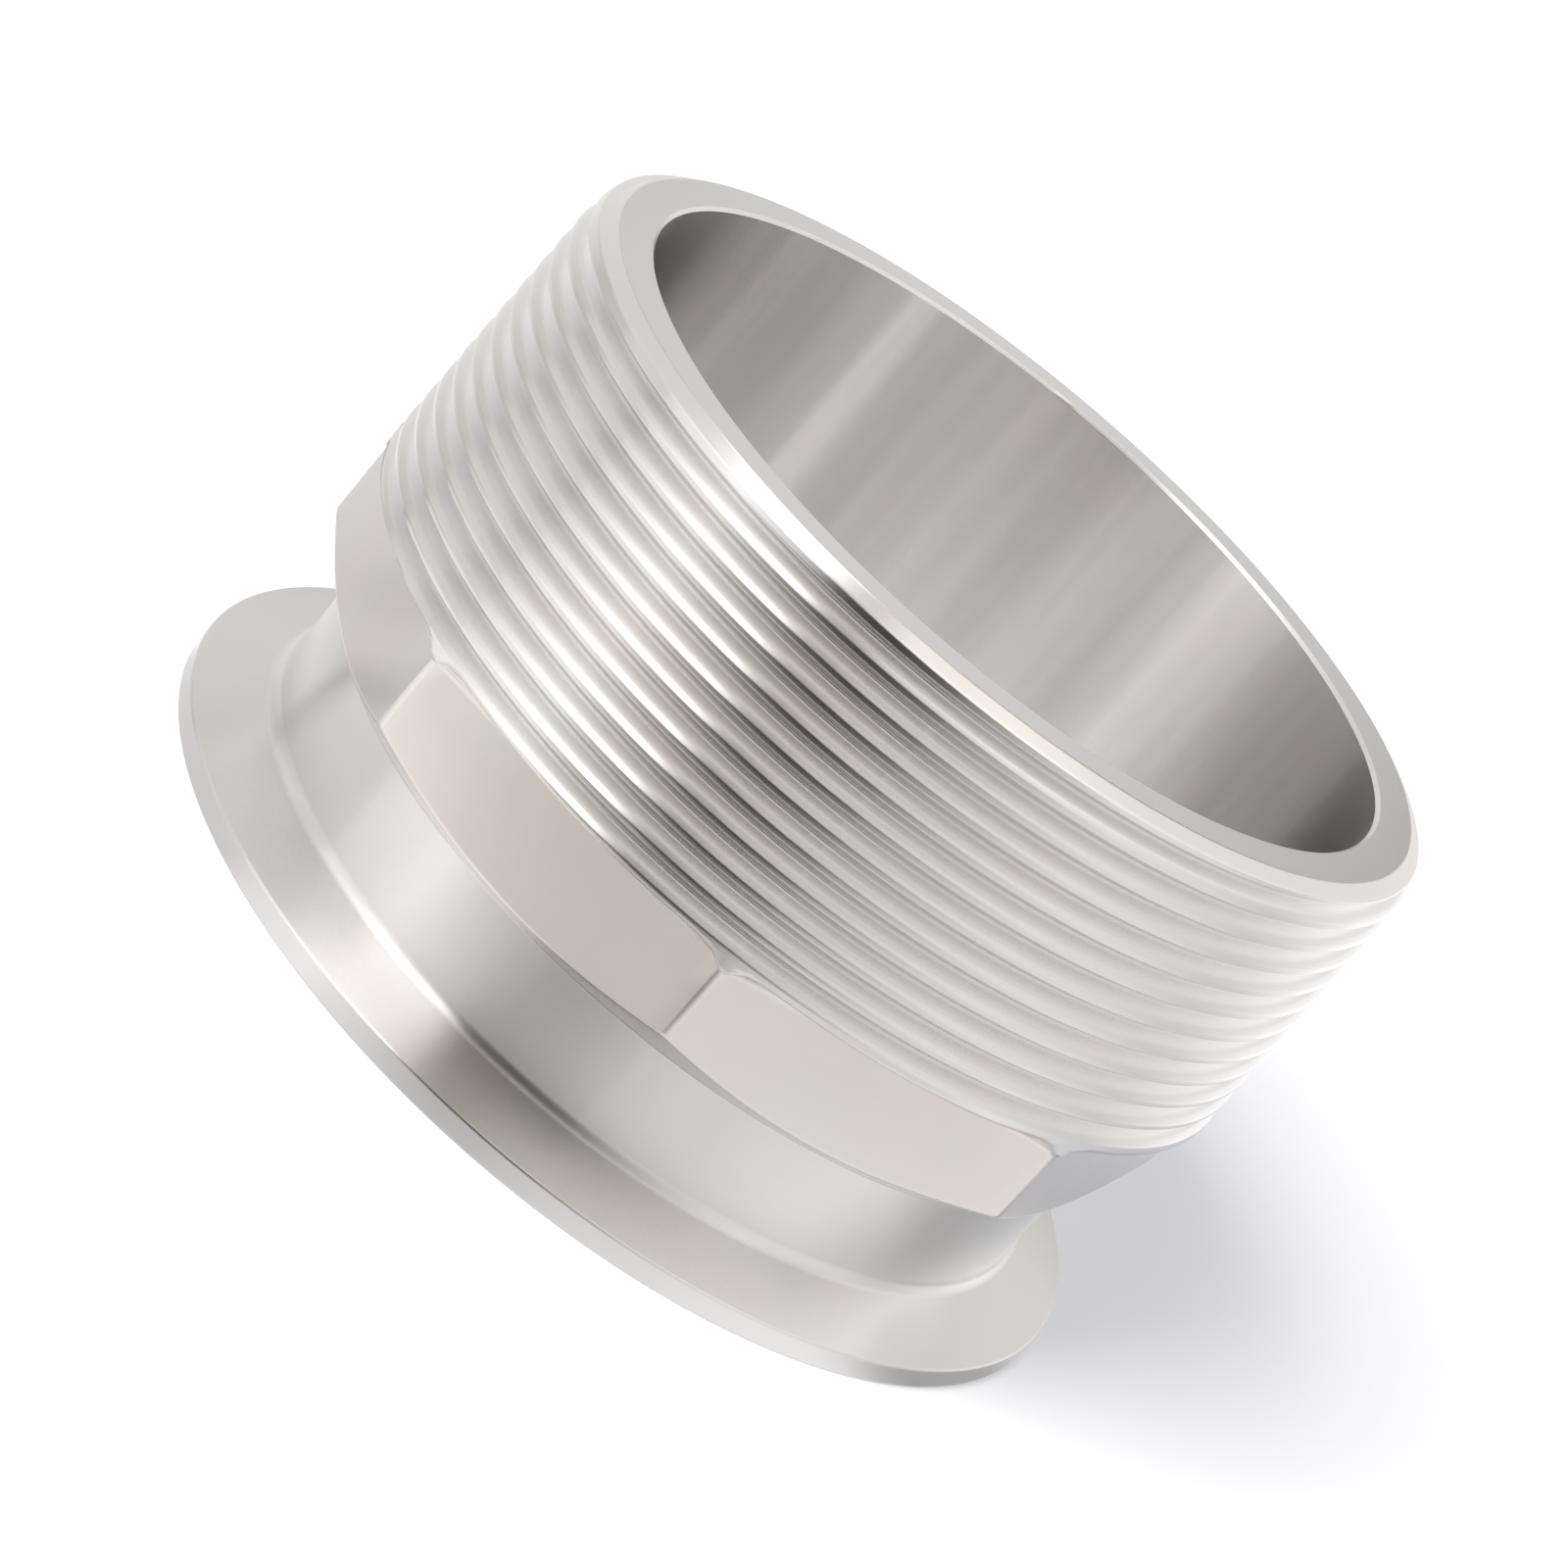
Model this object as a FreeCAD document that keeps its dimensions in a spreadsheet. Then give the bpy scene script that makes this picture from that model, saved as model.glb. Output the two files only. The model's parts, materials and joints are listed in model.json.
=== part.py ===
import FreeCAD, Part
import Sketcher
import os

# Sanitary clamp adapter with a male taper pipe thread, turned from one bar of stainless steel.
# The clamp flange lies face down on Z = 0, the axis is Z, and the thread points up.
# Lengths are in millimetres, angles in degrees.

SIZES = {
    # through bore, the inside of a 4 inch hygienic tube, with the tube's wall round it
    "bore_diameter": 97.4,
    "bore_edge_chamfer": 0.4,
    "neck_wall": 2.1,
    "neck_fillet_radius": 1.6,
    # clamp flange with its conical back, and the groove that centres the gasket
    "flange_projection": 8.7,
    "rim_thickness": 2.6,
    "rim_edge_chamfer": 0.3,
    "back_angle": 20.0,
    "gasket_groove_inset": 4.35,
    "gasket_groove_width": 3.4,
    "gasket_groove_floor": 1.6,
    "gasket_groove_depth": 1.2,
    # wrench collar with milled flats
    "collar_base_height": 18.0,
    "collar_underside_angle": 34.0,
    "collar_step": 1.1,
    "flats_count": 8,
    "flats_depth": 4.5,
    "flats_height": 14.8,
    "flats_end_radius": 1.5,
    # male taper thread, 8 turns per inch, 1 in 16 on the diameter
    "thread_wall": 7.3,
    "thread_length": 36.6,
    "taper_angle": 1.79,
    "thread_pitch": 3.175,
    "flank_angle": 60.0,
    "crest_flat": 0.55,
    # where the full groove ends above the flats, and how fast it runs out
    "last_groove_rise": 1.46,
    "last_groove_azimuth": 203.0,
    "runout_turns": 0.25,
    # lead-in at the thread's free end
    "end_face_drop": 2.6,
    "lead_in_drop": 0.65,
    "lead_in_length": 0.95,
    "first_crest_length": 3.4,
}

# Sizes that follow from the ones above.
DERIVED = {
    "neck_diameter": "bore_diameter + 2 * neck_wall",
    "flange_diameter": "neck_diameter + 2 * flange_projection",
    "gasket_groove_diameter": "flange_diameter - 2 * gasket_groove_inset",
    "thread_end_diameter": "bore_diameter + 2 * thread_wall",
    "end_face_diameter": "thread_end_diameter - 2 * end_face_drop",
    "lead_in_diameter": "thread_end_diameter - 2 * lead_in_drop",
    "collar_diameter": "thread_end_diameter + 2 * collar_step",
    "across_flats": "collar_diameter - 2 * flats_depth",
    "flats_top_height": "collar_base_height + flats_height",
    "last_groove_height": "flats_top_height + last_groove_rise",
    "overall_height": "flats_top_height + thread_length",
}

# How far the cutting profiles reach past the metal that they remove.
TOOL_CLEARANCE = 2.0
THREAD_OVERCUT = 0.3


def fill_sheet(doc):
    """One row for each size, with an alias in column B."""
    sheet = doc.addObject("Spreadsheet::Sheet", "Sizes")
    rows = [(alias, str(value)) for alias, value in SIZES.items()]
    rows += [(alias, "=" + formula) for alias, formula in DERIVED.items()]
    for row, (alias, content) in enumerate(rows, start=1):
        sheet.set("A%d" % row, alias)
        sheet.set("B%d" % row, content)
        sheet.setAlias("B%d" % row, alias)
    doc.recompute()
    return sheet


def origin_plane(body, role):
    for feature in body.Origin.OriginFeatures:
        if feature.Role == role:
            return feature
    raise RuntimeError("no plane " + role)


def half_plane_sketch(body, name, azimuth="0"):
    """Sketch in the half plane that holds the Z axis: x is the radius and y the height."""
    sketch = body.newObject("Sketcher::SketchObject", name)
    sketch.AttachmentSupport = [(origin_plane(body, "XZ_Plane"), "")]
    sketch.MapMode = "FlatFace"
    sketch.AttachmentOffset = FreeCAD.Placement(
        FreeCAD.Vector(0, 0, 0), FreeCAD.Rotation(FreeCAD.Vector(0, 1, 0), 0)
    )
    sketch.setExpression("AttachmentOffset.Rotation.Angle", azimuth)
    return sketch


def number(sketch, formula):
    """Present value of a formula on the sheet."""
    value = sketch.evalExpression(formula)
    return float(getattr(value, "Value", value))


def bind_point(sketch, geometry, point, across, up):
    """Hold one point of the sketch at two formulas, measured from the origin."""
    for kind, formula in (("DistanceX", across), ("DistanceY", up)):
        index = sketch.addConstraint(
            Sketcher.Constraint(kind, -1, 1, geometry, point, number(sketch, formula))
        )
        sketch.setExpression("Constraints[%d]" % index, formula)


def closed_outline(sketch, corners, rounds=()):
    """Closed outline through corners of formulas (radius, height).

    rounds gives, for a corner's index, the formulas of the centre and radius of
    the arc that runs clockwise from that corner to the next one.
    """
    rounds = dict(rounds)
    spots = [FreeCAD.Vector(number(sketch, r), number(sketch, z), 0) for r, z in corners]
    count = len(corners)
    ends = []
    for index in range(count):
        start, stop = spots[index], spots[(index + 1) % count]
        if index in rounds:
            centre_r, centre_z, radius = rounds[index]
            centre = FreeCAD.Vector(number(sketch, centre_r), number(sketch, centre_z), 0)
            circle = Part.Circle(centre, FreeCAD.Vector(0, 0, 1), number(sketch, radius))
            arc = Part.ArcOfCircle(circle, circle.parameter(stop), circle.parameter(start))
            geometry = sketch.addGeometry(arc, False)
            index_radius = sketch.addConstraint(
                Sketcher.Constraint("Radius", geometry, number(sketch, radius))
            )
            sketch.setExpression("Constraints[%d]" % index_radius, radius)
            ends.append((geometry, 2, 1))
        else:
            geometry = sketch.addGeometry(Part.LineSegment(start, stop), False)
            ends.append((geometry, 1, 2))
    for index in range(count):
        geometry, first, last = ends[index]
        following, next_first, next_last = ends[(index + 1) % count]
        sketch.addConstraint(
            Sketcher.Constraint("Coincident", geometry, last, following, next_first)
        )
        bind_point(sketch, geometry, first, *corners[index])


def round_edges(feature, radius, height):
    """Names of the circular edges of a feature at one radius and height."""
    found = []
    for index, edge in enumerate(feature.Shape.Edges, start=1):
        curve = edge.Curve
        if not isinstance(curve, Part.Circle):
            continue
        if abs(curve.Radius - radius) < 1e-4 and abs(curve.Center.z - height) < 1e-4:
            found.append("Edge%d" % index)
    if not found:
        raise RuntimeError("no edge at radius %.3f, height %.3f" % (radius, height))
    return found


def turned_blank(body):
    """Everything that the lathe leaves before the groove, the flats and the thread."""
    sketch = half_plane_sketch(body, "TurnedProfile")
    bore = "Sizes.bore_diameter / 2"
    neck = "Sizes.neck_diameter / 2"
    rim = "Sizes.flange_diameter / 2"
    fillet = "Sizes.neck_fillet_radius"
    fillet_r = "%s + %s" % (neck, fillet)
    back_rise = "(%s - %s - %s) * tan(Sizes.back_angle)" % (rim, neck, fillet)
    fillet_z = "Sizes.rim_thickness + %s + %s / cos(Sizes.back_angle)" % (back_rise, fillet)
    slope_end_r = "%s - %s * sin(Sizes.back_angle)" % (fillet_r, fillet)
    slope_end_z = "%s - %s * cos(Sizes.back_angle)" % (fillet_z, fillet)
    collar = "Sizes.collar_diameter / 2"
    underside_rise = "(%s - %s) * tan(Sizes.collar_underside_angle)" % (collar, neck)
    underside = "Sizes.collar_base_height + %s" % underside_rise
    crest_end = "Sizes.thread_end_diameter / 2"
    taper = "tan(Sizes.taper_angle)"
    collar_top = "Sizes.overall_height - (%s - %s) / %s" % (collar, crest_end, taper)
    first_crest = "%s + Sizes.first_crest_length * %s" % (crest_end, taper)
    closed_outline(
        sketch,
        [
            (bore, "0"),
            (rim, "0"),
            (rim, "Sizes.rim_thickness"),
            (slope_end_r, slope_end_z),
            (neck, fillet_z),
            (neck, "Sizes.collar_base_height"),
            (collar, underside),
            (collar, collar_top),
            (first_crest, "Sizes.overall_height - Sizes.first_crest_length"),
            ("Sizes.lead_in_diameter / 2", "Sizes.overall_height - Sizes.lead_in_length"),
            ("Sizes.end_face_diameter / 2", "Sizes.overall_height"),
            (bore, "Sizes.overall_height"),
        ],
        {3: (fillet_r, fillet_z, fillet)},
    )
    blank = body.newObject("PartDesign::Revolution", "TurnedBlank")
    blank.Profile = sketch
    blank.ReferenceAxis = (sketch, ["V_Axis"])
    blank.Angle = 360
    body.Document.recompute()

    rim_radius = number(sketch, rim)
    rim_edges = round_edges(blank, rim_radius, 0)
    rim_edges += round_edges(blank, rim_radius, number(sketch, "Sizes.rim_thickness"))
    rim_chamfer = body.newObject("PartDesign::Chamfer", "RimEdges")
    rim_chamfer.Base = (blank, rim_edges)
    rim_chamfer.setExpression("Size", "Sizes.rim_edge_chamfer")
    body.Document.recompute()

    top = number(sketch, "Sizes.overall_height")
    bore_edge = round_edges(rim_chamfer, number(sketch, bore), top)
    bore_chamfer = body.newObject("PartDesign::Chamfer", "BoreEdge")
    bore_chamfer.Base = (rim_chamfer, bore_edge)
    bore_chamfer.setExpression("Size", "Sizes.bore_edge_chamfer")
    body.Document.recompute()
    return bore_chamfer


def gasket_groove(body):
    """Ring groove in the flange's face that centres the gasket's bead."""
    sketch = half_plane_sketch(body, "GasketGrooveProfile")
    middle = "Sizes.gasket_groove_diameter / 2"
    mouth = "Sizes.gasket_groove_width / 2"
    floor = "Sizes.gasket_groove_floor / 2"
    closed_outline(
        sketch,
        [
            ("%s - %s" % (middle, mouth), "0"),
            ("%s + %s" % (middle, mouth), "0"),
            ("%s + %s" % (middle, floor), "Sizes.gasket_groove_depth"),
            ("%s - %s" % (middle, floor), "Sizes.gasket_groove_depth"),
        ],
    )
    groove = body.newObject("PartDesign::Groove", "GasketGroove")
    groove.Profile = sketch
    groove.ReferenceAxis = (sketch, ["V_Axis"])
    groove.Angle = 360
    body.Document.recompute()
    return groove


def wrench_flats(body):
    """One milled flat, then the pattern around the collar."""
    sketch = half_plane_sketch(body, "FlatCutter")
    flat = "Sizes.across_flats / 2"
    outside = "Sizes.collar_diameter / 2 + %g" % TOOL_CLEARANCE
    low = "Sizes.collar_base_height - %g" % TOOL_CLEARANCE
    top = "Sizes.flats_top_height"
    radius = "Sizes.flats_end_radius"
    closed_outline(
        sketch,
        [
            (flat, low),
            (flat, "%s - %s" % (top, radius)),
            ("%s + %s" % (flat, radius), top),
            (outside, top),
            (outside, low),
        ],
        {1: ("%s + %s" % (flat, radius), "%s - %s" % (top, radius), radius)},
    )
    cut = body.newObject("PartDesign::Pocket", "FirstFlat")
    cut.Profile = sketch
    cut.Type = "Length"
    cut.Midplane = True
    cut.setExpression("Length", "Sizes.collar_diameter")
    body.Document.recompute()

    flats = body.newObject("PartDesign::PolarPattern", "WrenchFlats")
    flats.Originals = [cut]
    flats.Axis = (sketch, ["V_Axis"])
    flats.Angle = 360
    flats.setExpression("Occurrences", "Sizes.flats_count")
    body.Tip = flats
    body.Document.recompute()
    return flats


def thread_formulas():
    """Formulas of the crest's radius and the thread's depth where the full groove ends."""
    rise = "(Sizes.overall_height - Sizes.last_groove_height) * tan(Sizes.taper_angle)"
    crest = "Sizes.thread_end_diameter / 2 + %s" % rise
    depth = "(Sizes.thread_pitch - Sizes.crest_flat) / (2 * tan(Sizes.flank_angle / 2))"
    return crest, depth


def thread_section(body):
    """Sixty-degree groove, a little wider than the metal it leaves open."""
    crest, depth = thread_formulas()
    height = "Sizes.last_groove_height"
    outside = "%s + %g" % (crest, THREAD_OVERCUT)
    mouth = "(%s + %g) * tan(Sizes.flank_angle / 2)" % (depth, THREAD_OVERCUT)
    sketch = half_plane_sketch(body, "ThreadGroove", "Sizes.last_groove_azimuth")
    closed_outline(
        sketch,
        [
            ("%s - %s" % (crest, depth), height),
            (outside, "%s - %s" % (height, mouth)),
            (outside, "%s + %s" % (height, mouth)),
        ],
    )
    return sketch


def thread_path(doc):
    """Conical right-hand helix along the crests, one edge for each turn."""
    crest, depth = thread_formulas()
    path = doc.addObject("Part::Helix", "ThreadPath")
    path.LocalCoord = "Right-handed"
    path.SegmentLength = 1
    path.Placement = FreeCAD.Placement(
        FreeCAD.Vector(0, 0, 0), FreeCAD.Rotation(FreeCAD.Vector(0, 0, 1), 0)
    )
    length = "Sizes.overall_height - Sizes.last_groove_height"
    path.setExpression("Placement.Base.z", "Sizes.last_groove_height")
    path.setExpression("Placement.Rotation.Angle", "Sizes.last_groove_azimuth")
    path.setExpression("Pitch", "Sizes.thread_pitch")
    path.setExpression("Height", "%s + Sizes.thread_pitch" % length)
    path.setExpression("Radius", crest)
    path.setExpression("Angle", "-Sizes.taper_angle")
    doc.recompute()
    return path


def taper_thread(body, section):
    """Right-hand taper thread, cut from the collar to past the free end."""
    path = thread_path(body.Document)
    thread = body.newObject("PartDesign::SubtractivePipe", "Thread")
    thread.Profile = section
    thread.Spine = (path, [])
    thread.Mode = "Frenet"
    body.Document.recompute()
    return thread


def thread_runout(body, section):
    """The last stretch of groove, which climbs out of the metal above the collar."""
    crest, depth = thread_formulas()
    runout = body.newObject("PartDesign::SubtractiveHelix", "ThreadRunout")
    runout.Profile = section
    runout.ReferenceAxis = (section, ["V_Axis"])
    runout.Mode = "height-turns-growth"
    runout.HasBeenEdited = True
    runout.LeftHanded = False
    runout.Reversed = True
    runout.setExpression("Turns", "Sizes.runout_turns")
    runout.setExpression("Height", "Sizes.thread_pitch * Sizes.runout_turns")
    runout.setExpression("Growth", "(%s + %g) / Sizes.runout_turns" % (depth, THREAD_OVERCUT))
    body.Document.recompute()
    return runout


def check_removed(before, feature):
    """A cut has to take metal away."""
    if not feature.Shape.Volume < before.Shape.Volume - 1.0:
        raise RuntimeError(feature.Name + " removes nothing")


def build_adapter(doc):
    body = doc.addObject("PartDesign::Body", "Adapter")
    body.Label = "adapter_body"
    blank = turned_blank(body)
    groove = gasket_groove(body)
    check_removed(blank, groove)
    flats = wrench_flats(body)
    check_removed(groove, flats)
    section = thread_section(body)
    thread = taper_thread(body, section)
    check_removed(flats, thread)
    runout = thread_runout(body, section)
    check_removed(thread, runout)
    return body


def check_document(doc, body):
    for item in doc.Objects:
        if "Invalid" in item.State or "Error" in item.State:
            raise RuntimeError("%s failed: %s" % (item.Name, item.State))
    shape = body.Shape
    if shape.isNull() or not shape.isValid() or len(shape.Solids) != 1:
        raise RuntimeError(body.Label + " isn't one valid solid")


def main():
    doc = FreeCAD.newDocument("ClampAdapter")
    fill_sheet(doc)
    body = build_adapter(doc)
    doc.recompute()
    check_document(doc, body)
    os.makedirs("parts", exist_ok=True)
    body.Shape.exportStep("parts/%s.step" % body.Label)
    box = body.Shape.BoundBox
    print("%s: volume %.0f mm3, box %.2f x %.2f x %.2f mm" % (
        body.Label, body.Shape.Volume, box.XLength, box.YLength, box.ZLength))


main()
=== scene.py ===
import json
import math

import bmesh
import bpy
import numpy as np
from mathutils import Matrix, Vector


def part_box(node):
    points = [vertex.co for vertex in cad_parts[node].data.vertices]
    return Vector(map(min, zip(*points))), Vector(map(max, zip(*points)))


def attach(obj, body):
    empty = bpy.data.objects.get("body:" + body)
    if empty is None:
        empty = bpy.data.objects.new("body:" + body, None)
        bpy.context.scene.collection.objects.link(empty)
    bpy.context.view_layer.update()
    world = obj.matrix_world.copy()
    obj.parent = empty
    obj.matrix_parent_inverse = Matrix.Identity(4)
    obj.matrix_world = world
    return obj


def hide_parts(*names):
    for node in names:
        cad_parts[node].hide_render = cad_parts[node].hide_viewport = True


# Looks of a stainless clamp adapter with a male taper pipe thread.
# Lengths in this script are in millimetres until a mesh is written, and angles in degrees.

MM = 0.001
NODE = "adapter_body"

# Forms that the part is turned and milled to, the same as in its source.
NECK_R = 50.8
FLANGE_R = 59.5
RIM_TOP = 2.6
BACK_ANGLE = 20.0
NECK_FILLET = 1.6
GROOVE_R = 55.15
GROOVE_MOUTH = 1.7
GROOVE_FLOOR = 0.8
GROOVE_DEPTH = 1.2
COLLAR_BASE = 18.0
UNDERSIDE_ANGLE = 34.0
LAND_R = 57.1
FLAT_APOTHEM = 52.6
FLATS_TOP = 32.8
FLATS_END_RADIUS = 1.5
CREST_END_R = 56.0
TAPER = 1.0 / 32.0
PITCH = 3.175
CREST_FLAT = 0.55
FLANK_SLOPE = math.tan(math.radians(60.0))
THREAD_DEPTH = 0.5 * (PITCH - CREST_FLAT) * FLANK_SLOPE
LAST_GROOVE_Z = 34.26
LAST_GROOVE_AZIMUTH = 203.0
RUNOUT_AZIMUTH = 90.0
RUNOUT_LIFT = THREAD_DEPTH + 0.3
END_FACE_R = 53.4
LEAD_IN_R = 55.35
LEAD_IN_LENGTH = 0.95
FIRST_CREST_LENGTH = 3.4
BORE_CHAMFER = 0.4

# Rounded edges. The flank that faces the end bends to a flatter shoulder below the crest, a form
# chosen for the highlights that it gives, because the photo doesn't show the flank itself.
RIM_ROUND = 0.4
FLAT_CORNER_ROUND = 1.6
SMALL_ROUND = 0.42
CREST_ROUND = 0.12
CREST_LOWER_ROUND = 0.09
SHOULDER_SLOPE = 1.11
SHOULDER_END = 0.7
SHOULDER_ROUND = 0.3
ROOT_ROUND = 0.09
EASE_ROUND = 0.08
LEAD_IN_ROUND = 0.2

# Columns of the mesh: evenly spaced over each flat, with extra ones at its rounded corners.
FLATS = 8
CORNER_OFFSETS = (-0.5, -0.25, 0.0, 0.25, 0.5)
COLUMNS_PER_FLAT = 25

# Rows of the mesh over one pitch, measured from the middle of the groove.
GROOVE_ROWS = (
    *(-1.46, -1.4, -1.34, -1.28, -1.21, -1.0, -0.84, -0.77, -0.7, -0.63, -0.55, -0.25, -0.08),
    *(0.0, 0.08, 0.2, 0.7, 1.24, 1.28, 1.32, 1.38, 0.5 * PITCH),
)
LEAD_IN_ROWS_PER_PITCH = 32


# Finish of each region: name, colour, roughness, how far highlights are drawn out across the
# tool lines, and its marks: shade, roughness and height (mm) of the tool lines, shade of the
# blotches and of the streaks along the axis. The streaks are random tone, and on the bore,
# where they are strong, they are painted reflection streaks too.
FINISHES = (
    ("turned_stainless", (0.777, 0.761, 0.757), 0.26, 1.0, (0.03, 0.03, 0.0012, 0.02, 0.0)),
    ("milled_stainless", (0.785, 0.757, 0.745), 0.28, 0.75, (0.012, 0.02, 0.0, 0.07, 0.02)),
    ("threaded_stainless", (0.775, 0.762, 0.757), 0.23, 0.88, (0.005, 0.0, 0.0, 0.02, 0.03)),
    ("faced_stainless", (0.773, 0.763, 0.756), 0.3, 0.0, (0.02, 0.03, 0.0008, 0.02, 0.0)),
    ("bored_stainless", (0.818, 0.805, 0.798), 0.26, 1.0, (0.01, 0.01, 0.0003, 0.02, 0.3)),
)
# Painted reflections along the bore: light and dark bands painted into its colour, by azimuth
# and how bright. In the photo they are reflections, and these levels were worked out from its
# brightness there, so they stay on the bore in every view.
BORE_PAINTED_REFLECTIONS = (
    (-15.9, 1.0),
    (30.0, 0.95),
    (40.0, 0.88),
    (50.0, 0.93),
    (57.0, 1.12),
    (63.0, 1.1),
    (66.0, 0.9),
    (71.0, 0.82),
    (78.0, 0.98),
    (92.0, 1.03),
    (100.0, 0.97),
    (106.0, 0.86),
    (112.0, 0.78),
    (116.0, 0.82),
    (119.0, 1.06),
    (122.0, 1.04),
    (124.0, 0.84),
    (132.0, 0.84),
    (142.0, 0.95),
    (160.0, 1.0),
    (344.0, 1.0),
)
BORE_PAINTED_REFLECTION_PEAK = 1.2
LINE_SCALE = 2600.0
LINE_STRETCH = 0.012
LINE_SLANT = 0.6
BLOTCH_SCALE = 75.0
STREAK_SCALE = 260.0
STREAK_STRETCH = 0.06
TURNED, MILLED, THREADED, FACED, BORED = range(len(FINISHES))

# The fitted camera's azimuths start this far from the part's.
FITTED_TURN = 15.93

# Studio, for glossy rays only: levels of the panels round the part, as (azimuth, grey level) or
# (azimuth, grey level, warmth). Most were worked out from the photo's brightness along the part
# and then adjusted by comparing renders. The same goes for the levels of the table below.
PANEL_CENTRE = (0.264, -0.924, 0.276)
LOW_PANELS = (
    (-15.9, 1.25),
    (100.0, 0.8),
    (180.0, 1.0),
    (196.0, 0.86),
    (203.0, 0.8),
    (207.0, 0.62),
    (218.0, 0.62),
    (222.0, 0.84),
    (228.0, 0.82),
    (229.0, 0.7),
    (230.5, 0.74),
    (232.0, 1.02),
    (245.0, 1.0),
    (248.0, 0.7),
    (252.0, 0.42),
    (257.0, 0.22),
    (261.0, 0.07),
    (268.0, 0.05),
    (275.0, 0.14),
    (283.0, 0.5),
    (291.0, 0.77),
    (300.0, 0.9),
    (314.0, 0.9),
    (324.0, 0.74),
    (332.0, 0.88),
    (344.0, 1.3),
)
SIDE_PANELS = (
    (-15.9, 1.25),
    (100.0, 0.8),
    (180.0, 1.0),
    (196.0, 0.84),
    (203.0, 0.7),
    (208.2, 0.7),
    (209.4, 0.56),
    (210.6, 0.6),
    (211.8, 0.82),
    (220.0, 0.92),
    (225.0, 0.78),
    (229.0, 0.86),
    (231.5, 1.08),
    (240.0, 1.4),
    (244.0, 2.2),
    (253.5, 2.2),
    (257.0, 1.5),
    (259.0, 0.12),
    (268.0, 0.08),
    (275.0, 0.12),
    (283.0, 0.44),
    (290.0, 0.68),
    (296.0, 0.9),
    (300.0, 1.0),
    (310.0, 0.94),
    (324.0, 0.76),
    (332.0, 1.0),
    (344.0, 1.3),
)
HIGH_PANELS = (
    (-15.9, 0.28),
    (100.0, 0.5),
    (196.0, 0.56),
    (205.0, 0.53),
    (220.0, 0.5),
    (228.0, 0.57),
    (232.0, 0.92),
    (236.0, 2.1, 0.04),
    (239.5, 2.6, 0.05),
    (258.5, 2.6, 0.05),
    (260.5, 1.1),
    (264.0, 0.54),
    (270.0, 0.48),
    (276.0, 0.26),
    (285.0, 0.2),
    (292.0, 0.16),
    (300.0, 0.03),
    (311.0, 0.02),
    (320.0, 0.08),
    (330.0, 0.16),
    (344.0, 0.26),
)
OVERHEAD_PANELS = (
    (-15.9, 0.98, 0.03),
    (100.0, 0.85),
    (200.0, 0.88),
    (215.0, 0.85),
    (228.0, 0.9, 0.02),
    (236.0, 0.84, 0.02),
    (239.0, 0.94, 0.02),
    (242.0, 1.3, 0.02),
    (246.0, 1.5, 0.02),
    (250.0, 2.0, 0.02),
    (255.5, 2.0, 0.02),
    (258.5, 0.8, 0.02),
    (261.0, 0.56, 0.04),
    (265.5, 0.86, 0.05),
    (269.0, 1.44, 0.05),
    (285.0, 1.54, 0.05),
    (291.0, 1.47, 0.05),
    (297.0, 1.33, 0.04),
    (303.0, 1.22, 0.03),
    (310.0, 1.17, 0.03),
    (328.0, 1.05, 0.03),
    (344.0, 0.98, 0.03),
)
PANEL_PEAK = 2.2
DARK_WARMTH = 0.1
RED_SHARE = 0.7
BLUE_SHARE = 1.2
LOW_UP_TO = 12.0
SIDE_FROM = 30.0
SIDE_UP_TO = 40.0
HIGH_FROM = 52.0
OVERHEAD_TILTS = (43.0, 48.5, 64.5, 67.0)
BACK_PANEL = 0.81
FADE_FROM = 76.0
FADE_TO = 83.0
ROOM_LEVEL = 0.45
SHADOW_LIFT = 0.28
# Painted reflection: grey level that the table glows with inside the bore's circle, for glossy
# rays.
INNER_COLOUR = (0.865, 0.85, 0.825)
INNER_RADIUS = 0.047
BACKDROP_LIFT = 0.9
BACKDROP_REACH = (0.16, 0.4)
ROOM_COLOUR = (0.955, 0.96, 1.03)
FLOOR_COLOUR = (0.8, 0.8, 0.81)
FLOOR_HALF = 12.0
TABLE_RADIUS = 0.149
TABLE_EDGE = 0.006
# Painted reflections: grey levels that the table glows with for glossy rays only, which the
# metal mirrors: by the rim, by the neck, farther out, and as the thread's flanks mirror it between
# them.
RIM_TABLE = (
    (-15.9, 0.46),
    (-10.9, 0.55),
    (-5.6, 0.7),
    (30.0, 0.8),
    (120.0, 0.9),
    (170.0, 1.1),
    (185.6, 1.25),
    (190.9, 0.93),
    (201.4, 0.86),
    (217.3, 0.79),
    (227.8, 0.8),
    (233.0, 0.98),
    (243.6, 1.11),
    (248.9, 0.97),
    (254.2, 0.86),
    (259.5, 0.78),
    (264.7, 0.73),
    (270.0, 0.77),
    (275.3, 0.88),
    (280.6, 0.95),
    (291.0, 0.98),
    (296.4, 1.06),
    (312.2, 1.12),
    (317.5, 1.0),
    (322.8, 0.65),
    (328.0, 0.44),
    (344.0, 0.45),
)
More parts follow.
